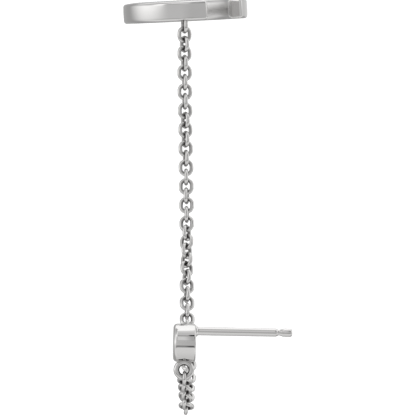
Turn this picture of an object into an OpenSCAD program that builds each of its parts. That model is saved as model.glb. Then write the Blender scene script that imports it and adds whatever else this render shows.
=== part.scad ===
/* [Ear cuff] */
// Outer diameter of the band that clips over the rim of the ear
cuff_outer_d = 12.91; // [11:0.01:16]
// Wall of the band, from its flat outside to the crown of its inside
cuff_wall = 1.67; // [1.3:0.01:2.2]
// Height of the band
cuff_height = 2.04; // [1.4:0.02:3]
// Where the opening starts, in degrees from the right towards the front
cuff_gap_start = 25; // [15:1:30]
// Width of the opening in degrees
cuff_gap_angle = 43; // [30:1:50]
// How far the right side of the band is lifted, in degrees
cuff_roll = 2.8; // [0:0.1:6]
// How far the front of the band is lifted, in degrees
cuff_pitch = 1.65; // [0:0.05:4]

/* [Chain] */
// Length of one link over its wire
link_length = 1.76; // [1.74:0.005:1.78]
// Width of one link over its wire
link_width = 1.55; // [1.5:0.01:1.6]
// Diameter of the link wire
link_wire = 0.32; // [0.28:0.01:0.33]
// Free space between two links where they pull on each other
link_gap = 0.132; // [0.126:0.002:0.14]

/* [Stud] */
// Diameter of the round stud
stud_d = 3.9; // [3:0.02:5]
// Thickness of the stud from front to back
stud_depth = 2.28; // [1.5:0.02:3]
// How far the stud leans over towards its post, in degrees
stud_lean = 1.1; // [0:0.1:4]
// How far the front of the stud is turned towards the viewer, in degrees
stud_turn = 1.6; // [0:0.1:4]
// Diameter of the ear post
post_d = 0.85; // [0.7:0.01:1]
// Length of the post from the back of the stud
post_length = 9.84; // [8:0.02:11.5]
// Height of the post above the middle of the stud
post_rise = 1.18; // [0:0.01:1.2]
// Outer diameter of the ring under the stud
ring_outer_d = 2.13; // [2.1:0.01:2.4]
// Diameter of the ring's wire
ring_wire = 0.6; // [0.45:0.01:0.62]

/* [Hidden] */
$fn = 64;

// Ear cuff
cuff_outer_r = cuff_outer_d / 2;
cuff_inner_r = cuff_outer_r - cuff_wall;
cuff_middle_r = (cuff_outer_r + cuff_inner_r) / 2;
cuff_outer_edge_r = 0.3;
cuff_inner_edge_r = 0.55;
cuff_crown_r = 2.6;
// The band runs from one tip of the opening to the other, anticlockwise seen from above
cuff_first_tip = -cuff_gap_start;
cuff_sweep = 360 - cuff_gap_angle;

// Chain
link_pitch = link_length - 2 * link_wire - link_gap;
link_count = 56;
// Link 1 is the loop soldered under the lifted front of the band, half sunk in it
loop_side = -0.08;
loop_drop = 0.45;
front_lift = cuff_middle_r * sin(cuff_pitch);
loop_place = [loop_side, -cuff_middle_r, front_lift - cuff_height / 2 - loop_drop];
// Steepness of a link, in degrees below level towards the viewer; each row is [link, steepness]
steepness = [
    [1, 89], [4, 85], [10, 85], [16, 80.5], [22, 73.5], [24, 66.5], [25, 71], [27, 61], [29, 64.5],
    [31, 59], [33, 52.5], [36, 53], [39, 43.5], [41, 35], [43, 23.5], [46, 29.5], [50, -36],
    [52, -25.5], [54, -30], [56, -15.5]
];
// How far the chain has twisted at a link, in degrees; each row is [link, twist]
twist = [
    [1, 16], [3, 30], [5, 16], [7, 8], [9, 9], [11, 26], [13, 21], [15, 12], [17, 0], [19, -9],
    [21, -5], [23, -24], [25, -36], [27, -54], [29, -74], [32, -84], [34, -90], [46, -90],
    [48, -81], [49, -82], [51, -65], [53, -65], [56, -88]
];
// How far right of the middle of the band a link hangs; each row is [link, distance]
sideways = [
    [1, loop_side], [4, loop_side], [8, -0.03], [13, 0.04], [20, 0.15], [28, 0.17], [33, 0.22],
    [39, 0.42], [43, 0.24], [47, 0.19], [49, 0.08], [55, -0.04], [56, -0.05]
];

// Stud
ring_r = (ring_outer_d - ring_wire) / 2;
ring_drop = 2.76;
// The last link holds the bottom of the ring this far in front of and above its own middle
ring_ahead = 0.2;
ring_above = 0.05;
ring_bottom = link_place(link_count) + ring_ahead * link_way(link_count) + [0, 0, ring_above];
stud_side = -0.045;
stud_place = [stud_side, ring_bottom[1], ring_bottom[2] + ring_r + ring_drop];
stud_front_edge_r = 0.4;
stud_back_edge_r = 0.2;
collar_d = 1.2;
collar_depth = 0.15;
post_tip_r = 0.16;
// The groove that the ear nut snaps into, measured back from the tip
groove_d = 0.5;
groove_back = 1.38;
groove_length = 0.62;

// The way that link k points, down the chain
function link_way(k) = [
    lookup(k, sideways) - lookup(k - 1, sideways),
    -cos(lookup(k, steepness)),
    -sin(lookup(k, steepness))
];

// Where link k and the next one hold each other, followed along the chain from the loop
function link_joint(k) =
    k == 1 ? loop_place + link_pitch / 2 * link_way(1)
    : link_joint(k - 1) + link_pitch * link_way(k);

// Middle of link k
function link_place(k) =
    k == 1 ? loop_place : link_joint(k - 1) + link_pitch / 2 * link_way(k);

// Every second link stands square to its neighbours
function link_turn(k) = lookup(k, twist) + (k % 2 == 0 ? 90 : 0);

// A straight-sided oval of wire, upright in the YZ plane
module oval_link() {
    bend_r = (link_width - link_wire) / 2;
    straight = link_length - link_width;
    for (end = [0, 1])
        mirror([0, 0, end])
            translate([0, 0, straight / 2])
                rotate([90, 0, 90])
                    rotate_extrude(angle = 180)
                        translate([bend_r, 0])
                            circle(d = link_wire);
    for (side = [-1, 1])
        translate([0, side * bend_r, 0])
            cylinder(d = link_wire, h = straight, center = true);
}

// Link k in its place on the chain
module placed_link(k) {
    translate(link_place(k))
        rotate([lookup(k, steepness) - 90, 0, 0])
            rotate([0, 0, link_turn(k)])
                oval_link();
}

// The band's section, flat outside and crowned inside, with its edges rounded
module band_section() {
    edge_z = cuff_height / 2;
    intersection() {
        union() {
            for (up = [-1, 1]) {
                translate([cuff_outer_r - cuff_outer_edge_r, up * (edge_z - cuff_outer_edge_r)])
                    circle(r = cuff_outer_edge_r);
                translate([cuff_inner_r + cuff_inner_edge_r, up * (edge_z - cuff_inner_edge_r)])
                    circle(r = cuff_inner_edge_r);
            }
            translate([cuff_inner_r + cuff_inner_edge_r, -edge_z])
                square([cuff_wall - cuff_inner_edge_r - cuff_outer_edge_r, cuff_height]);
            translate([cuff_inner_r, cuff_inner_edge_r - edge_z])
                square([cuff_inner_edge_r, cuff_height - 2 * cuff_inner_edge_r]);
            translate([cuff_outer_r - cuff_outer_edge_r, cuff_outer_edge_r - edge_z])
                square([cuff_outer_edge_r, cuff_height - 2 * cuff_outer_edge_r]);
        }
        translate([cuff_inner_r + cuff_crown_r, 0])
            circle(r = cuff_crown_r);
    }
}

// The open band with the chain's loop soldered under its front
module ear_cuff() {
    color("gainsboro") {
        rotate([-cuff_pitch, -cuff_roll, 0])
            rotate([0, 0, cuff_first_tip])
                rotate_extrude(angle = cuff_sweep)
                    band_section();
        placed_link(1);
    }
}

// The loose links between the loop under the band and the ring under the stud
module cable_chain() {
    color("silver")
        for (k = [2 : link_count])
            placed_link(k);
}

// The round stud, a short bar whose front edge is softer than its back edge
module stud_body() {
    rotate([0, 90, 0])
        rotate_extrude()
            intersection() {
                translate([0, -stud_depth / 2])
                    square([stud_d / 2, stud_depth]);
                union() {
                    translate([stud_d / 2 - stud_front_edge_r, stud_front_edge_r - stud_depth / 2])
                        circle(r = stud_front_edge_r);
                    translate([stud_d / 2 - stud_back_edge_r, stud_depth / 2 - stud_back_edge_r])
                        circle(r = stud_back_edge_r);
                    translate([0, -stud_depth / 2])
                        square([stud_d / 2 - stud_front_edge_r, stud_depth]);
                    translate([0, stud_front_edge_r - stud_depth / 2])
                        square([stud_d / 2, stud_depth - stud_front_edge_r - stud_back_edge_r]);
                    square([stud_d / 2 - stud_back_edge_r, stud_depth / 2]);
                }
            }
}

// The post with its soldered foot, its groove for the ear nut and its round tip
module ear_post() {
    post_r = post_d / 2;
    sunk = 0.3;
    groove_r = groove_d / 2;
    groove_middle = post_length - groove_back;
    neck = groove_length / 4;
    translate([stud_depth / 2, 0, post_rise])
        rotate([0, 90, 0]) {
            cylinder(d = collar_d, h = collar_depth);
            rotate_extrude()
                polygon([
                    [0, -sunk],
                    [post_r, -sunk],
                    [post_r, groove_middle - groove_length / 2],
                    [groove_r, groove_middle - neck / 2],
                    [groove_r, groove_middle + neck / 2],
                    [post_r, groove_middle + groove_length / 2],
                    [post_r, post_length - post_tip_r],
                    [post_r - post_tip_r, post_length],
                    [0, post_length]
                ]);
        }
}

// The ring soldered under the stud, seen through from the front
module chain_ring() {
    translate([0, 0, -ring_drop])
        rotate([90, 0, 0])
            rotate_extrude()
                translate([ring_r, 0])
                    circle(d = ring_wire);
}

// The stud with its post and its ring, all soldered into one
module post_stud() {
    color("lightgray")
        translate(stud_place)
            rotate([0, stud_lean, stud_turn]) {
                stud_body();
                ear_post();
                chain_ring();
            }
}

ear_cuff();
cable_chain();
post_stud();
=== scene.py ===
# %% [markdown]
# A chain ear cuff in polished white gold. The real one is three things held together by wire:
# an open band for the rim of the ear, a fine cable chain, and a small round stud with a post.
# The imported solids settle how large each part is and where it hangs, so this lesson only makes
# the finer shapes around them, gives them their metal, and sets up a small studio.

# %% Load the solids
import math

import bpy
import numpy as np
from mathutils import Matrix, Vector


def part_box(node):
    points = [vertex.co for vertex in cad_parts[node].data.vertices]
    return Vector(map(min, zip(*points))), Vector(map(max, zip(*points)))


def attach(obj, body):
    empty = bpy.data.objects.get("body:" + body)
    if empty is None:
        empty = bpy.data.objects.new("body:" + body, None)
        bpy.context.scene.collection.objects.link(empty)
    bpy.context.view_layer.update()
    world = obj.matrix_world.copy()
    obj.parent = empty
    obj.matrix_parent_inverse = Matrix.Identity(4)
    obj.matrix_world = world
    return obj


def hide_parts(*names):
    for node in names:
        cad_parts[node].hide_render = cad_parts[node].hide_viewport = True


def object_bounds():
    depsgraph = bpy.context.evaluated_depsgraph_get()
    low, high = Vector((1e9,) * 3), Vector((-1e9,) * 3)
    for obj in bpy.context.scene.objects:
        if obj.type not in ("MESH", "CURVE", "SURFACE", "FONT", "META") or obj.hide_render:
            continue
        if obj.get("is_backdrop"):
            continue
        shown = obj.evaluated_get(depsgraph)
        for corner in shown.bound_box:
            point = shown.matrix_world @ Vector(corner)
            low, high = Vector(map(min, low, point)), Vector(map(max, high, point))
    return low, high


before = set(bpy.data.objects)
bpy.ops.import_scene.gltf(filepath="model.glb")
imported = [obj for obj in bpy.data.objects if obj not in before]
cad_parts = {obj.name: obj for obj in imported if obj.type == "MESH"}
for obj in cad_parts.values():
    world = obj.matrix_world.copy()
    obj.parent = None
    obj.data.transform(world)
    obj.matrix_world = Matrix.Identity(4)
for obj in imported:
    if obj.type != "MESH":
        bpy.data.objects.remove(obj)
cad_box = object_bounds()
MM = 0.001


def in_mm(point):
    """A place or a size in millimetres, rounded for printing."""
    return [round(value / MM, 2) for value in point]


print("solids:", sorted(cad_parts), "from", in_mm(cad_box[0]), "to", in_mm(cad_box[1]), "mm")

# %% [markdown]
# The camera comes first. A jeweller's picture is taken from far off with a long lens, so that
# the band and the stud, which hangs 32 mm nearer, come out at nearly the same scale. The camera
# looks along +Y from very little above, where the thin top edge of the band just shows.

# %% Camera
PICTURE_PX = 416
PX_PER_MM = 9.6
CAMERA_DISTANCE = 1500 * MM
CAMERA_ELEVATION = math.radians(2.05)
CAMERA_AIM = Vector((2.36, 0, -20.492)) * MM
SENSOR_WIDTH = 36
NEAREST_SEEN = 0.1
FURTHEST_SEEN = 100


def make_camera():
    """Adds the camera with the lens that gives the picture's scale at the band."""
    data = bpy.data.cameras.new("long_lens")
    data.sensor_width = SENSOR_WIDTH
    data.lens = SENSOR_WIDTH * CAMERA_DISTANCE / (PICTURE_PX / PX_PER_MM * MM)
    data.clip_start = NEAREST_SEEN
    data.clip_end = FURTHEST_SEEN
    camera = bpy.data.objects.new("camera", data)
    bpy.context.scene.collection.objects.link(camera)
    look = Vector((0, math.cos(CAMERA_ELEVATION), -math.sin(CAMERA_ELEVATION)))
    camera.location = CAMERA_AIM - look * CAMERA_DISTANCE
    camera.rotation_mode = "QUATERNION"
    camera.rotation_quaternion = look.to_track_quat("-Z", "Y")
    bpy.context.scene.camera = camera
    return camera


camera = make_camera()
print("lens", round(camera.data.lens), "mm")

# %% [markdown]
# Every node comes from one helper, add_node, which sets the node up first and then fills its
# sockets with values or links them to other nodes. A colour ramp's stops are part of its set-up.

# %% Adding nodes


def add_node(tree, kind, settings=None, values=None):
    """Adds a node, applies its settings, a ramp's stops among them, and fills or links its sockets."""
    node = tree.nodes.new(kind)
    for name, value in (settings or {}).items():
        if name == "stops":
            set_stops(node.color_ramp, value)
        else:
            setattr(node, name, value)
    for name, value in (values or {}).items():
        socket = node.inputs[name]
        if isinstance(value, Wire):
            tree.links.new(value.socket, socket)
        else:
            socket.default_value = value
    return node


def set_stops(ramp, stops):
    """Gives a colour ramp its stops, each a place from 0 to 1 and a grey."""
    while len(ramp.elements) > 1:
        ramp.elements.remove(ramp.elements[-1])
    ramp.elements[0].position = stops[0][0]
    for place, _ in stops[1:]:
        ramp.elements.new(place)
    for element, (_, grey) in zip(ramp.elements, stops):
        element.color = (grey, grey, grey, 1)


print("add_node ready")

# %% [markdown]
# Shader sums read best as sums. The class below wraps one output of a node and turns +, -, *
# and / into Math nodes. Colours are mixed by a node of their own, because a Math node would
# turn them grey.

# %% Writing nodes as sums


class Wire:
    """One output of a node, on which sums can be written."""

    def __init__(self, tree, socket):
        self.tree = tree
        self.socket = socket

    def sum(self, operation, first, second=0.0):
        node = add_node(self.tree, "ShaderNodeMath", {"operation": operation}, {0: first, 1: second})
        return Wire(self.tree, node.outputs[0])

    def __add__(self, other):
        return self.sum("ADD", self, other)

    def __radd__(self, other):
        return self.sum("ADD", other, self)

    def __sub__(self, other):
        return self.sum("SUBTRACT", self, other)

    def __rsub__(self, other):
        return self.sum("SUBTRACT", other, self)

    def __mul__(self, other):
        return self.sum("MULTIPLY", self, other)

    def __rmul__(self, other):
        return self.sum("MULTIPLY", other, self)

    def __truediv__(self, other):
        return self.sum("DIVIDE", self, other)

    def __neg__(self):
        return self.sum("MULTIPLY", self, -1.0)


def smooth_between(wire, low, high):
    """0 below low, 1 above high and a smooth rise between them."""
    settings = {"interpolation_type": "SMOOTHSTEP"}
    values = {"Value": wire, "From Min": low, "From Max": high}
    return Wire(wire.tree, add_node(wire.tree, "ShaderNodeMapRange", settings, values).outputs[0])


def mix_colours(tree, share, first, second):
    """Mixes two colours, all first at 0 and all second at 1."""
    values = {"Factor": share, 6: first, 7: second}
    return Wire(tree, add_node(tree, "ShaderNodeMix", {"data_type": "RGBA"}, values).outputs[2])


print("sums ready")

# %% [markdown]
# Polished metal shows its surroundings, so the studio is half of the finish. Seen from the
# piece, a photographer's tent is bands of grey from floor to ceiling, one set on the camera's
# side and one on the far side, with a few boards standing in front of them: a white one on the
# left, a black one on the right and thin grey ones between. So the studio is written as two
# lists of greys and a list of boards. All are greys as a picture shows them.

# %% Greys of the studio
# Each pair: height in degrees, from -90 straight down to 90 straight up, and the grey there
CAMERA_SIDE = [
    (-90, 192), (-75, 197), (-58, 203), (-28, 204), (-24, 130), (-15.5, 130), (-11, 183), (17, 178),
    (21, 202), (41, 198), (43, 130), (45.5, 130), (48, 183), (60, 184), (76, 206), (82, 248), (90, 252),
]
FAR_SIDE = [
    (-90, 192), (-66, 187), (-50, 142), (-8, 142), (0, 170), (25, 178), (33, 182), (47, 242), (90, 252),
]
# Each board: turn from and to and the softness there, height from and to and the softness there,
# and its grey. A turn of 0 is at the camera and a positive one is on its right
BOARDS = [
    (-176, -122, 8, -36, 34, 8, 150),
    (-102, -53, 24, -90, 32, 8, 208),
    (-102, -53, 24, -3, 10, 8, 250),
    (-125, -48, 10, 39, 92, 5, 166),
    (-48, -9, 6, 12, 37, 4, 168),
    (-48, -9, 6, 39, 68, 3, 220),
    (2, 64, 12, -14, 10, 6, 170),
    (8, 60, 5, 11, 41, 4, 163),
    (-66, -42, 6, 6, 46, 6, 250),
    (11.5, 24, 2, 42, 50.5, 1, 4),
    (6, 16, 3, -24, -16, 2, 80),
    (24, 60, 5, 23, 37, 4, 105),
    (62, 126, 6, -40, 60, 6, 224),
    (58, 112, 6, -14, 4, 4, 178),
    (130, 172, 6, -12, 12, 6, 182),
]
print("studio of", len(CAMERA_SIDE) + len(FAR_SIDE), "greys and", len(BOARDS), "boards")

# %% [markdown]
# The world's nodes turn each direction into a height and a turn. The two lists become ramps
# that are looked up by height and run into each other at the sides, and the boards are laid
# over them in their order. A grey is first made the light behind it and then divided by the
# share of light that the metal gives back. The camera itself sees plain white behind the piece.

# %% Studio
GIVEN_BACK = 0.6
SIDES_BLEND = 0.3
KEEPS_OFF_ZERO = 1e-6
LOWEST = -90
HIGHEST = 90
WHITE = (1, 1, 1, 1)


def linear(level):
    """The light behind one grey of a picture, from 0 to 255, by the curve that pictures use."""
    share = level / 255
    return share / 12.92 if share <= 0.04045 else ((share + 0.055) / 1.055) ** 2.4


def grey_ramp(height, stops):
    """Looks a height in degrees up in a list of greys."""
    reach = HIGHEST - LOWEST
    place = (height - LOWEST) / reach
    levels = [((angle - LOWEST) / reach, linear(grey) / GIVEN_BACK) for angle, grey in stops]
    node = add_node(height.tree, "ShaderNodeValToRGB", {"stops": levels}, {"Fac": place})
    return Wire(height.tree, node.outputs["Color"])


def within(wire, low, high, soft):
    """1 between low and high, 0 outside, with a soft edge centred on each."""
    past_low = smooth_between(wire, low - soft, low + soft)
    past_high = smooth_between(wire, high - soft, high + soft)
    return past_low * (1 - past_high)


def make_studio():
    """Builds the world: bands and boards for the metal, and plain white for the camera."""
    world = bpy.data.worlds.new("studio")
    bpy.context.scene.world = world
    world.use_nodes = True
    tree = world.node_tree
    tree.nodes.clear()
    around = add_node(tree, "ShaderNodeTexCoord")
    split = add_node(tree, "ShaderNodeSeparateXYZ", None, {0: Wire(tree, around.outputs["Generated"])})
    x, y, z = (Wire(tree, split.outputs[i]) for i in range(3))
    degree = 180 / math.pi
    turn = x.sum("ARCTAN2", x, -y) * degree
    height = z.sum("ARCSINE", z) * degree
    flat = x.sum("SQRT", x * x + y * y + KEEPS_OFF_ZERO)
    near_side = smooth_between(-y / flat, -SIDES_BLEND, SIDES_BLEND)
    far, near = (grey_ramp(height, stops) for stops in (FAR_SIDE, CAMERA_SIDE))
    shown = mix_colours(tree, near_side, far, near)
    for left, right, soft_side, bottom, top, soft_top, grey in BOARDS:
        light = linear(grey) / GIVEN_BACK
        share = within(turn, left, right, soft_side) * within(height, bottom, top, soft_top)
        shown = mix_colours(tree, share, shown, (light, light, light, 1))
    seen = Wire(tree, add_node(tree, "ShaderNodeBackground", None, {"Color": WHITE}).outputs[0])
    lit = Wire(tree, add_node(tree, "ShaderNodeBackground", None, {"Color": shown}).outputs[0])
    ray = Wire(tree, add_node(tree, "ShaderNodeLightPath").outputs["Is Camera Ray"])
    mixed = add_node(tree, "ShaderNodeMixShader", None, {0: ray, 1: lit, 2: seen})
    add_node(tree, "ShaderNodeOutputWorld", None, {"Surface": Wire(tree, mixed.outputs[0])})
    return world


world = make_studio()
scene = bpy.context.scene
scene.view_settings.view_transform = "Standard"
print("world of", len(world.node_tree.nodes), "nodes")

# %% [markdown]
# The floor is a sheet of pale paper well below the piece, which hangs clear of it. It glows
# just enough to come out as white as the wall behind: paper that is brighter than white eats
# into the outline of everything in front of it. The metal doesn't see the paper, because the
# lists of greys already hold what shines up from below.

# %% Floor
FLOOR_DROP = 16 * MM
FLOOR_SIZE = 8.0
PAPER_GREYS = [(0.3, 0.86), (0.7, 0.9)]
PAPER_MOTTLE_SCALE = 40.0
PAPER_MOTTLE_DETAIL = 4.0
PAPER_ROUGHNESS = 0.9
PAPER_GLOW = 0.24


def make_paper():
    """Makes the pale paper with its faint mottle and glow."""
    material = bpy.data.materials.new("pale_paper")
    material.use_nodes = True
    tree = material.node_tree
    tree.nodes.clear()
    place = Wire(tree, add_node(tree, "ShaderNodeTexCoord").outputs["Object"])
    noise = add_node(tree, "ShaderNodeTexNoise", None, {
        "Vector": place,
        "Scale": PAPER_MOTTLE_SCALE,
        "Detail": PAPER_MOTTLE_DETAIL,
    })
    mottle = Wire(tree, noise.outputs[0])
    paper = add_node(tree, "ShaderNodeValToRGB", {"stops": PAPER_GREYS}, {"Fac": mottle})
    surface = add_node(tree, "ShaderNodeBsdfPrincipled", None, {
        "Base Color": Wire(tree, paper.outputs["Color"]),
        "Roughness": PAPER_ROUGHNESS,
        "Emission Color": WHITE,
        "Emission Strength": PAPER_GLOW,
    })
    add_node(tree, "ShaderNodeOutputMaterial", None, {"Surface": Wire(tree, surface.outputs[0])})
    return material


def make_floor():
    """Lays the paper under the piece, where the metal doesn't see it."""
    bpy.ops.mesh.primitive_plane_add(size=FLOOR_SIZE, location=(0, 0, cad_box[0].z - FLOOR_DROP))
    floor = bpy.context.active_object
    floor.name = "paper_floor"
    floor.data.materials.append(make_paper())
    floor.visible_glossy = False
    floor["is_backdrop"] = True
    return floor


floor = make_floor()
print("floor at", round(floor.location.z / MM, 1), "mm")

# %% [markdown]
# The metal isn't the same all over. A polishing wheel hardly gets inside the band, so it is
# duller there. Where wire crosses wire, and on the side of a wire ring that faces its hole,
# shade is painted into the metal as a dark, dull colour. Pieces with such places carry an
# attribute, from 0 on open metal to 1 in the deepest corner, and their finish mixes the gold
# with the painted shade by it.

# %% Where the polish doesn't reach, and painted shade
BAND_MIDDLE = 5.6 * MM
BAND_INSIDE_FADE = 0.6 * MM
# A dark, dull colour painted where shade falls between the wires and inside them
PAINTED_SHADE_COLOUR = (0.03, 0.029, 0.027, 1)


def inside_band(tree, place):
    """1 on the inside of the band, 0 on its outside, by the distance from the middle of the ear."""
    split = add_node(tree, "ShaderNodeSeparateXYZ", None, {0: place})
    x, y = (Wire(tree, split.outputs[i]) for i in range(2))
    out = x.sum("SQRT", x * x + y * y)
    return 1 - smooth_between(out, BAND_MIDDLE - BAND_INSIDE_FADE, BAND_MIDDLE)


def with_painted_shade(tree, shown):
    """Mixes painted shade, a dark dull colour, into the gold by the attribute of painted shade."""
    marked = add_node(tree, "ShaderNodeAttribute", {"attribute_name": "recess"})
    shade_paint = add_node(tree, "ShaderNodeBsdfDiffuse", None, {"Color": PAINTED_SHADE_COLOUR})
    mixed = add_node(tree, "ShaderNodeMixShader", None, {
        0: Wire(tree, marked.outputs["Fac"]),
        1: shown,
        2: Wire(tree, shade_paint.outputs[0]),
    })
    return Wire(tree, mixed.outputs[0])


print("the band's polish fades inwards over", round(BAND_INSIDE_FADE / MM, 2), "mm")

# %% [markdown]
# White gold is a hard metal that takes a mirror polish. Two things keep it from looking like
# plastic chrome: its faint warmth, and the very fine marks that wheel and cloth leave in it.
# The marks are a stretched noise on the piece's own coordinates. They change the roughness a
# little and tilt the surface by much less than the eye can see as relief. A second, broad noise
# clouds the shade and the roughness a little. The chain is drawn wire that was tumbled and never
# polished by hand, so it is a shade darker and rougher than the stud.

# %% White gold
WARMTH = 0.02
MARK_DETAIL = 3.0
MARK_HARSHNESS = 0.6
MARK_DEPTH = 0.4e-6
MARK_STRENGTH = 0.25
CLOUD_SCALE = 420.0
CLOUD_DETAIL = 2.0
CLOUD_SHADE = 0.012
NOISE_MIDDLE = 0.5
BAND_INSIDE_ROUGHNESS = 0.2


def gold_colour(grey):
    """A grey of the metal with its faint warmth."""
    return (grey, grey * (1 - WARMTH / 2), grey * (1 - WARMTH), 1)


def make_gold(name, grey, roughness, spread, marks, mark_scale, is_band=False, has_painted_shade=False):
    """Makes one finish. marks stretches the fine marks along each axis, spread varies the roughness."""
    material = bpy.data.materials.new(name)
    material.use_nodes = True
    tree = material.node_tree
    tree.nodes.clear()
    place = Wire(tree, add_node(tree, "ShaderNodeTexCoord").outputs["Object"])
    stretch = add_node(tree, "ShaderNodeMapping", None, {"Vector": place, "Scale": marks})
    stretched = Wire(tree, stretch.outputs[0])
    fine = add_node(tree, "ShaderNodeTexNoise", None, {
        "Vector": stretched, "Scale": mark_scale, "Detail": MARK_DETAIL, "Roughness": MARK_HARSHNESS,
    })
    broad = add_node(tree, "ShaderNodeTexNoise", None, {
        "Vector": place, "Scale": CLOUD_SCALE, "Detail": CLOUD_DETAIL,
    })
    mark = Wire(tree, fine.outputs[0])
    cloud = Wire(tree, broad.outputs[0])
    darker = gold_colour(grey - CLOUD_SHADE)
    lighter = gold_colour(grey + CLOUD_SHADE)
    rough = roughness + (mark - NOISE_MIDDLE) * spread + (cloud - NOISE_MIDDLE) * spread
    if is_band:
        rough = rough + inside_band(tree, place) * BAND_INSIDE_ROUGHNESS
    bump = add_node(tree, "ShaderNodeBump", None, {
        "Strength": MARK_STRENGTH, "Distance": MARK_DEPTH, "Height": mark,
    })
    surface = add_node(tree, "ShaderNodeBsdfPrincipled", None, {
        "Base Color": mix_colours(tree, cloud, darker, lighter),
        "Metallic": 1.0,
        "Roughness": rough,
        "Normal": Wire(tree, bump.outputs[0]),
    })
    shown = Wire(tree, surface.outputs[0])
    # Pieces that carry it get painted shade where wires cross and inside their rings
    if has_painted_shade:
        shown = with_painted_shade(tree, shown)
    add_node(tree, "ShaderNodeOutputMaterial", None, {"Surface": shown})
    return material


band_gold = make_gold("band_gold", 0.6, 0.09, 0.05, marks=(1, 1, 4), mark_scale=2600, is_band=True)
stud_gold = make_gold("stud_gold", 0.6, 0.05, 0.04, marks=(4, 1, 1), mark_scale=2600)
# The wire and the ring carry painted shade in their crossings and holes
wire_gold = make_gold("wire_gold", 0.58, 0.08, 0.04, marks=(1, 1, 1), mark_scale=6000, has_painted_shade=True)
ring_gold = make_gold("ring_gold", 0.58, 0.07, 0.04, marks=(1, 1, 1), mark_scale=6000, has_painted_shade=True)
print("finishes:", band_gold.name, stud_gold.name, wire_gold.name, ring_gold.name)

# %% [markdown]
# Small steps that every piece needs: start with nothing selected, open and close edit mode,
# pick parts of a mesh by where they are, put a finished piece's place into its mesh, and hand
# it to the frame. Places that differ by less than CLOSE count as the same place.

# %% Small steps
CLOSE = 0.001 * MM
SHARP_FROM = 40


def start_clean():
    """Leaves edit mode and deselects everything."""
    if bpy.context.object and bpy.context.object.mode != "OBJECT":
        bpy.ops.object.mode_set(mode="OBJECT")
    bpy.ops.object.select_all(action="DESELECT")


def pick(piece, kind, wanted):
    """Selects the vertices, edges or faces that the test wants, and opens edit mode on them."""
    bpy.ops.object.mode_set(mode="EDIT")
    bpy.ops.mesh.select_mode(type={"vertices": "VERT", "edges": "EDGE", "polygons": "FACE"}[kind])
    bpy.ops.mesh.select_all(action="DESELECT")
    bpy.ops.object.mode_set(mode="OBJECT")
    for part in getattr(piece.data, kind):
        part.select = bool(wanted(part))
    bpy.ops.object.mode_set(mode="EDIT")


def smooth_metal(piece, sharp_from=SHARP_FROM):
    """Turns the faces outwards and shades them smooth, each corner led by its largest face."""
    bpy.ops.object.mode_set(mode="EDIT")
    bpy.ops.mesh.select_all(action="SELECT")
    bpy.ops.mesh.normals_make_consistent(inside=False)
    bpy.ops.object.mode_set(mode="OBJECT")
    bpy.ops.object.shade_smooth_by_angle(angle=math.radians(sharp_from))
    weighted = piece.modifiers.new("large_faces_first", "WEIGHTED_NORMAL")
    weighted.keep_sharp = True
    bpy.ops.object.modifier_apply(modifier=weighted.name)


def settle(piece):
    """Puts the piece's place and turn into its mesh."""
    start_clean()
    piece.select_set(True)
    bpy.context.view_layer.objects.active = piece
    bpy.ops.object.transform_apply(location=True, rotation=True, scale=True)


def hand_over(piece, name, material, slot, *nodes):
    """Names a finished piece, gives it its metal, and puts it on the frame in place of its solid."""
    piece.name = name
    piece.data.name = name
    piece.data.materials.clear()
    piece.data.materials.append(material)
    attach(piece, "root")
    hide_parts(*nodes)
    print(name, len(piece.data.polygons), "faces")


print("faces meet sharply from", SHARP_FROM, "degrees")

# %% [markdown]
# The band is a strip of square-edged wire bent round a mandrel, nearly flat outside and a little
# crowned inside for comfort. As on the bench, its section comes first: a plane with its corners
# rounded, and each side pushed out a little in its middle with a soft proportional move. The
# hammer also left the top about a tenth of a millimetre higher on the inside.

# %% Section of the band
BAND_OUTER = 6.455 * MM
BAND_WALL = 1.67 * MM
BAND_HEIGHT = 2.04 * MM
BAND_OUTER_EDGE = 0.3 * MM
BAND_INNER_EDGE = 0.42 * MM
BAND_INNER_CROWN = 0.045 * MM
BAND_OUTER_CROWN = 0.025 * MM
BAND_TOP_SLOPE = 0.11 * MM
EDGE_SEGMENTS = 9
SIDE_CUTS = 11


def push_side(section, side, edge, crown):
    """Rounds the two corners of one upright side and pushes its middle out by the crown."""
    pick(section, "vertices", lambda v: abs(v.co.x - side) < CLOSE)
    bpy.ops.mesh.bevel(affect="VERTICES", offset=edge, segments=EDGE_SEGMENTS, clamp_overlap=False)
    bpy.ops.object.mode_set(mode="OBJECT")
    on_side = {v.index for v in section.data.vertices if abs(v.co.x - side) < CLOSE}
    pick(section, "edges", lambda e: on_side.issuperset(e.vertices))
    bpy.ops.mesh.subdivide(number_cuts=SIDE_CUTS)
    bpy.ops.object.mode_set(mode="OBJECT")
    pick(section, "vertices", lambda v: abs(v.co.x - side) < CLOSE and abs(v.co.z) < CLOSE)
    bpy.ops.transform.translate(
        value=(crown, 0, 0),
        use_proportional_edit=True,
        proportional_edit_falloff="INVERSE_SQUARE",
        proportional_size=BAND_HEIGHT / 2 - edge / 2,
    )
    bpy.ops.object.mode_set(mode="OBJECT")


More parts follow.
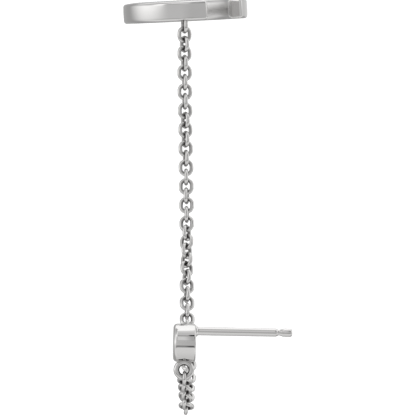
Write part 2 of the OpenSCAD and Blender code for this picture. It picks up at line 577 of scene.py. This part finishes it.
def make_section():
    """Draws the band's section upright on the right, with round corners and crowned sides."""
    start_clean()
    bpy.ops.mesh.primitive_plane_add(size=1)
    section = bpy.context.active_object
    inner_side = BAND_OUTER - BAND_WALL + BAND_INNER_CROWN
    outer_side = BAND_OUTER - BAND_OUTER_CROWN
    section.scale = (outer_side - inner_side, BAND_HEIGHT, 1)
    section.rotation_euler = (math.pi / 2, 0, 0)
    section.location = ((outer_side + inner_side) / 2, 0, 0)
    settle(section)
    push_side(section, outer_side, BAND_OUTER_EDGE, BAND_OUTER_CROWN)
    push_side(section, inner_side, BAND_INNER_EDGE, -BAND_INNER_CROWN)
    low = BAND_HEIGHT / 2 - BAND_INNER_EDGE - CLOSE
    right = inner_side + BAND_INNER_EDGE + CLOSE
    pick(section, "vertices", lambda v: v.co.z > low and v.co.x < right)
    bpy.ops.transform.translate(value=(0, 0, BAND_TOP_SLOPE))
    bpy.ops.object.mode_set(mode="OBJECT")
    return section


section = make_section()
print("section", in_mm(section.dimensions), "mm,", len(section.data.vertices), "points")

# %% [markdown]
# Spinning the section round the middle of the ear makes the band. Its two blunt ends are the
# only faces with more than four corners. A bevel takes the sharpness off them, more from the
# near one than from the other. Then the band is tipped as it hangs, its front and its right
# side a little higher.

# %% Band
BAND_OPENS_AT = 25
BAND_OPENING = 43
BAND_PITCH = math.radians(1.65)
BAND_ROLL = math.radians(2.8)
BAND_STEPS = 108
BAND_NEAR_END_EDGE = 0.32 * MM
BAND_FAR_END_EDGE = 0.24 * MM
BAND_END_SEGMENTS = 6


def soften_ends(band, ends):
    """Bevels the borders of the two end faces, each by its own width."""
    widths = band.data.attributes.new("bevel_weight_edge", "FLOAT", "EDGE")
    near = min(ends, key=lambda f: f.center.y)
    for face in ends:
        width = BAND_NEAR_END_EDGE if face.index == near.index else BAND_FAR_END_EDGE
        borders = set(face.edge_keys)
        for edge in band.data.edges:
            if edge.key in borders:
                widths.data[edge.index].value = width / BAND_NEAR_END_EDGE
    bevel = band.modifiers.new("soft_ends", "BEVEL")
    bevel.limit_method = "WEIGHT"
    bevel.width = BAND_NEAR_END_EDGE
    bevel.segments = BAND_END_SEGMENTS
    bevel.use_clamp_overlap = False
    bpy.ops.object.modifier_apply(modifier=bevel.name)


def make_band(band):
    """Spins the section from one end of the opening to the other, then softens the ends."""
    band.rotation_euler = (0, 0, math.radians(-BAND_OPENS_AT))
    settle(band)
    pick(band, "polygons", lambda f: True)
    sweep = math.radians(360 - BAND_OPENING)
    bpy.ops.mesh.spin(steps=BAND_STEPS, angle=sweep, center=(0, 0, 0), axis=(0, 0, -1))
    bpy.ops.object.mode_set(mode="OBJECT")
    soften_ends(band, [f for f in band.data.polygons if len(f.vertices) > 4])
    smooth_metal(band)
    band.rotation_euler = (-BAND_PITCH, -BAND_ROLL, 0)
    settle(band)
    return band


band = make_band(section)
hand_over(band, "ear_band", band_gold, "polished_band", "ear_cuff")

# %% [markdown]
# A link is a piece of round wire closed into an oval. It starts as a torus, and its upper half
# is moved up and its lower half down to give the oval its short straight sides. The wire here is
# thicker than in the solids, which keep their links clear of each other, so that links rest on
# each other as they do under the stud's weight.

# %% One link
LINK_LENGTH = 1.79 * MM
LINK_WIDTH = 1.55 * MM
LINK_WIRE = 0.4 * MM
LINK_TURNS = 36
LINK_SIDES = 16


def make_link():
    """Makes the link that all others are copied from, upright in the YZ plane at the origin."""
    start_clean()
    bpy.ops.mesh.primitive_torus_add(
        major_radius=(LINK_WIDTH - LINK_WIRE) / 2,
        minor_radius=LINK_WIRE / 2,
        major_segments=LINK_TURNS,
        minor_segments=LINK_SIDES,
        rotation=(0, math.pi / 2, 0),
    )
    link = bpy.context.active_object
    settle(link)
    straight = LINK_LENGTH - LINK_WIDTH
    for side in (1, -1):
        pick(link, "vertices", lambda v: v.co.z * side > CLOSE)
        bpy.ops.transform.translate(value=(0, 0, side * straight / 2))
        bpy.ops.object.mode_set(mode="OBJECT")
    bpy.ops.object.shade_smooth()
    return link


link = make_link()
print("link", in_mm(link.dimensions), "mm,", len(link.data.polygons), "faces")

# %% [markdown]
# Now the painted shade. A wire ring is painted darker on the side that faces its own hole, and
# nearly black where another wire lies against it, where shade falls. Both are measured on the
# mesh: each point of a torus knows the middle of its wire, so its side is known, and the nearest
# middle of any other wire gives the gap that is left there.

# %% Painted shade in the recesses
# How far from another wire the painted shade reaches
PAINTED_SHADE_REACH = 0.2 * MM


def rise(values, low, high):
    """0 below low, 1 above high and a smooth rise between them, for an array."""
    share = np.clip((values - low) / (high - low), 0, 1)
    return share * share * (3 - 2 * share)


def points_of(piece):
    """A mesh's points as rows."""
    flat = np.empty(len(piece.data.vertices) * 3)
    piece.data.vertices.foreach_get("co", flat)
    return flat.reshape(-1, 3)


def wire_middle(piece, turns, sides):
    """The middle of the wire of a torus, one point for each of its turns."""
    return points_of(piece).reshape(turns, sides, 3).mean(axis=1)


def mark_painted_shade(piece, turns, sides, inner, others):
    """Writes the attribute of painted shade, inside the ring and next to other wires. others are the
    middles of the wires nearby, with their radii.
    """
    points = points_of(piece)
    line = np.repeat(wire_middle(piece, turns, sides), sides, axis=0)
    across = points - line
    wire_radius = np.linalg.norm(across, axis=1)
    inward = line.mean(axis=0) - line
    inward /= np.linalg.norm(inward, axis=1)[:, None]
    facing = (across * inward).sum(axis=1) / wire_radius
    # Painted shade on the side of the wire that faces its hole
    start, full, share = inner
    recess = rise(facing, start, full) * share
    # Painted shade, nearly black, where another wire lies close
    for middle, radius in others:
        gap = np.linalg.norm(points[:, None] - middle[None], axis=2).min(axis=1) - radius
        recess = np.maximum(recess, 1 - rise(gap, 0, PAINTED_SHADE_REACH))
    mark = piece.data.attributes.new("recess", "FLOAT", "POINT")
    mark.data.foreach_set("value", recess.astype(np.float32))


print("recesses reach", round(PAINTED_SHADE_REACH / MM, 2), "mm")

# %% [markdown]
# The chain's solid holds every link as a loose body of its own, already hung and twisted. Its
# mesh is loose triangles, so points that lie on each other are first counted as one. Triangles
# that share a point then take the lowest number among them, again and again, until each loose
# body has one number. Each body is measured: its middle, the way its oval is longest, and the
# way through its hole, which is the way it is thinnest.

# %% Loose bodies
SAME_POINT = 1e-7


def group_of(corners):
    """Labels each triangle with the loose body that it belongs to."""
    owner = np.arange(corners.max() + 1)
    while True:
        lowest = owner[corners].min(axis=1)
        before = owner.copy()
        for side in range(3):
            np.minimum.at(owner, corners[:, side], lowest)
        owner = owner[owner]
        if np.array_equal(before, owner):
            return owner[corners[:, 0]]


def loose_bodies(node):
    """The middle and the main ways of each loose body, the longest way first, from the back."""
    points = points_of(node)
    mesh = node.data
    mesh.calc_loop_triangles()
    corners = np.empty(len(mesh.loop_triangles) * 3, int)
    mesh.loop_triangles.foreach_get("vertices", corners)
    corners = corners.reshape(-1, 3)
    grid = np.round(points / SAME_POINT).astype(np.int64)
    _, merged = np.unique(grid, axis=0, return_inverse=True)
    label = group_of(merged.reshape(-1)[corners])
    bodies = []
    for value in np.unique(label):
        triangles = points[corners[label == value]]
        first, second, third = (triangles[:, i] for i in range(3))
        area = np.linalg.norm(np.cross(second - first, third - first), axis=1)
        centres = triangles.mean(axis=1)
        middle = (centres * area[:, None]).sum(axis=0) / area.sum()
        offset = centres - middle
        spread = (offset * area[:, None]).T @ offset
        ways = np.linalg.eigh(spread)[1][:, ::-1]
        bodies.append((middle, ways))
    return sorted(bodies, key=lambda body: -body[0][1])


bodies = loose_bodies(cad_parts["cable_chain"])
print(len(bodies), "loose bodies, the first at", in_mm(bodies[0][0]), "mm")

# %% [markdown]
# A copy of the link with a mesh of its own is turned to match each body. The chain's first link
# is the loop on the band, so the loose ones are numbered from 2.

# %% Chain


def place_of(middle, ways):
    """The matrix that stands a link on a body, upright along the longest way."""
    length, width, hole = (Vector(ways[:, i]) for i in range(3))
    if hole.dot(width.cross(length)) < 0:
        hole = -hole
    turned = Matrix((hole, width, length)).transposed().to_4x4()
    return Matrix.Translation(Vector(middle)) @ turned


def copy_link(matrix, name):
    """A copy of the link with its own mesh, placed in its mesh."""
    mesh = link.data.copy()
    mesh.transform(matrix)
    piece = bpy.data.objects.new(name, mesh)
    bpy.context.scene.collection.objects.link(piece)
    return piece


links = [copy_link(place_of(*body), f"link_{n:02d}") for n, body in enumerate(bodies, 2)]
print("chain of", len(links), "links")

# %% [markdown]
# The first link isn't loose: it is soldered partly sunk into the underside of the band, turned
# a little so that the chain hangs easily. It is one more copy of the link, which has then done
# its work and is removed.

# %% Loop under the band
SOLID_LINK_LENGTH = 1.76 * MM
LOOP_SIDE = -0.08 * MM
LOOP_DEPTH = -(BAND_OUTER - BAND_WALL / 2)
LOOP_TURN = math.radians(16)


def make_loop():
    """Stands a link under the front of the band, its middle where the solid's is."""
    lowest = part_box("ear_cuff")[0].z
    place = Vector((LOOP_SIDE, LOOP_DEPTH, lowest + SOLID_LINK_LENGTH / 2))
    return copy_link(Matrix.Translation(place) @ Matrix.Rotation(LOOP_TURN, 4, "Z"), "loop")


loop = make_loop()
bpy.data.objects.remove(link)
print("loop", in_mm(loop.dimensions), "mm")

# %% [markdown]
# The stud is a slice of round bar, turned on a lathe: a soft edge in front, a sharper one at the
# back. It is a cylinder laid on its side, and its two rims are bevelled by different amounts.
# Its place is worked out from its solid: the bottom of the ring is the solid's lowest point, and
# the stud's middle lies a known way above it.

# %% Stud
STUD_RADIUS = 1.95 * MM
STUD_DEPTH = 2.28 * MM
STUD_ROUND = 128
STUD_SIDE = -0.045 * MM
STUD_LEAN = math.radians(1.1)
STUD_TURN = math.radians(1.6)
STUD_FRONT_EDGE = 0.4 * MM
STUD_FRONT_SEGMENTS = 8
STUD_BACK_EDGE = 0.2 * MM
STUD_BACK_SEGMENTS = 5
RING_DROP = 2.76 * MM
RING_OUTER = 1.065 * MM


def stud_frame():
    """Where the middle of the stud is, and how it leans and turns."""
    low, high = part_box("post_stud")
    z = low.z + RING_OUTER + RING_DROP * math.cos(STUD_LEAN)
    place = Vector((STUD_SIDE, (low.y + high.y) / 2, z))
    turned = Matrix.Rotation(STUD_TURN, 4, "Z") @ Matrix.Rotation(STUD_LEAN, 4, "Y")
    return Matrix.Translation(place) @ turned


STUD_PLACE = stud_frame()
print("middle of the stud", in_mm(STUD_PLACE.translation), "mm")


def lay_on_stud(piece):
    """Moves a piece made round the stud's own middle to where the stud hangs."""
    piece.data.transform(STUD_PLACE)


def make_stud():
    """Lays a short cylinder on its side and bevels its two rims."""
    start_clean()
    bpy.ops.mesh.primitive_cylinder_add(vertices=STUD_ROUND, radius=STUD_RADIUS, depth=STUD_DEPTH)
    stud = bpy.context.active_object
    stud.rotation_euler = (0, math.pi / 2, 0)
    settle(stud)
    front = (-1, STUD_FRONT_EDGE, STUD_FRONT_SEGMENTS)
    back = (1, STUD_BACK_EDGE, STUD_BACK_SEGMENTS)
    for side, edge, segments in (front, back):
        rim = side * STUD_DEPTH / 2
        on_rim = {v.index for v in stud.data.vertices if abs(v.co.x - rim) < CLOSE}
        pick(stud, "edges", lambda e: on_rim.issuperset(e.vertices))
        bpy.ops.mesh.bevel(affect="EDGES", offset=edge, segments=segments)
        bpy.ops.object.mode_set(mode="OBJECT")
    smooth_metal(stud)
    lay_on_stud(stud)
    return stud


stud = make_stud()
hand_over(stud, "round_stud", stud_gold, "polished_stud", "post_stud")

# %% [markdown]
# The post stands on a small soldered foot. Near its tip is the groove that the ear nut snaps
# into, and the tip is rounded so that it passes the ear easily. It grows out of one disc: each
# row of the table below pushes the end face further out and sets its new radius. The plain
# stretch is one long row of faces, so a ring stands close to each end of it. Without the two,
# the shading of the foot and the groove would run all along the post and make it look bent.

# %% Post
POST_RISE = 1.21 * MM
POST_ROUND = 64
POST_SHARP_FROM = 60
# Each row: how far out from the back of the stud, and the radius there, both in mm
POST_PROFILE = [
    (0.0, 0.56), (0.06, 0.56), (0.11, 0.54), (0.15, 0.48), (0.2, 0.44), (0.26, 0.425), (0.36, 0.425),
    (8.04, 0.425), (8.14, 0.425), (8.2, 0.415), (8.28, 0.37), (8.36, 0.32), (8.42, 0.3), (8.5, 0.3),
    (8.56, 0.305), (8.64, 0.325), (8.72, 0.355), (8.8, 0.385), (8.9, 0.41), (9.0, 0.42), (9.12, 0.425),
    (9.55, 0.425), (9.64, 0.415), (9.72, 0.39), (9.78, 0.355), (9.82, 0.3), (9.84, 0.22),
]


def make_post():
    """Extrudes a disc along the post, one row of the profile at a time."""
    start_clean()
    first = POST_PROFILE[0][1] * MM
    bpy.ops.mesh.primitive_circle_add(vertices=POST_ROUND, radius=first, fill_type="NGON")
    post = bpy.context.active_object
    post.rotation_euler = (0, math.pi / 2, 0)
    post.location = (STUD_DEPTH / 2, 0, POST_RISE)
    settle(post)
    pick(post, "polygons", lambda f: True)
    centre = Vector((0, 0, POST_RISE))
    for (here, before), (there, after) in zip(POST_PROFILE, POST_PROFILE[1:]):
        step = ((there - here) * MM, 0, 0)
        bpy.ops.mesh.extrude_region_move(TRANSFORM_OT_translate={"value": step})
        share = after / before
        bpy.ops.transform.resize(value=(1, share, share), center_override=centre)
    bpy.ops.object.mode_set(mode="OBJECT")
    smooth_metal(post, POST_SHARP_FROM)
    lay_on_stud(post)
    return post


post = make_post()
hand_over(post, "ear_post", stud_gold, "polished_stud", "post_stud")

# %% [markdown]
# The ring under the stud is thick round wire, soldered where it touches the stud. Its hole
# faces the viewer, and the last link of the chain passes through it.

# %% Ring
RING_WIRE = 0.6 * MM
RING_TURNS = 72
RING_SIDES = 28


def make_ring():
    """Adds the ring under the stud, its hole towards the viewer."""
    start_clean()
    bpy.ops.mesh.primitive_torus_add(
        major_radius=RING_OUTER - RING_WIRE / 2,
        minor_radius=RING_WIRE / 2,
        major_segments=RING_TURNS,
        minor_segments=RING_SIDES,
        rotation=(math.pi / 2, 0, 0),
        location=(0, 0, -RING_DROP),
    )
    ring = bpy.context.active_object
    settle(ring)
    bpy.ops.object.shade_smooth()
    lay_on_stud(ring)
    return ring


ring = make_ring()
print("ring", in_mm(ring.dimensions), "mm")

# %% [markdown]
# With every wire in place, each one looks for the wires next to it and its recesses are marked.
# The last link lies in the ring, and the loop holds the first loose one. Then the loose links
# become one piece, and all three are handed over.

# %% Marking the painted shade
# The painted shade on the inside of a wire ring: where it starts to darken and where it is full,
# from -1 on the outside of the wire to 1 at its hole, and how dark it gets
LINK_INNER_SHADE = (-0.35, 0.55, 0.5)
RING_INNER_SHADE = (0.35, 0.75, 1.0)


def mark_all():
    """Marks the painted shade of the loop, the links and the ring, each against all the others."""
    row = [loop] + links
    middles = [(wire_middle(piece, LINK_TURNS, LINK_SIDES), LINK_WIRE / 2) for piece in row]
    middles.append((wire_middle(ring, RING_TURNS, RING_SIDES), RING_WIRE / 2))
    for n, piece in enumerate(row):
        others = [other for m, other in enumerate(middles) if m != n]
        mark_painted_shade(piece, LINK_TURNS, LINK_SIDES, LINK_INNER_SHADE, others)
    mark_painted_shade(ring, RING_TURNS, RING_SIDES, RING_INNER_SHADE, middles[:-1])


def join_links():
    """Joins the loose links into one piece."""
    start_clean()
    for piece in links:
        piece.select_set(True)
    bpy.context.view_layer.objects.active = links[0]
    bpy.ops.object.join()
    return links[0]


mark_all()
chain = join_links()
hand_over(chain, "chain_links", wire_gold, "chain_wire", "cable_chain")
hand_over(loop, "band_loop", wire_gold, "polished_band", "ear_cuff")
hand_over(ring, "hanging_ring", ring_gold, "polished_stud", "post_stud")

# %% [markdown]
# Last, the size of what is shown is printed, as the size of the solids was at the start.

# %% Finish
shown_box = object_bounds()
print("shown from", in_mm(shown_box[0]), "to", in_mm(shown_box[1]), "mm")
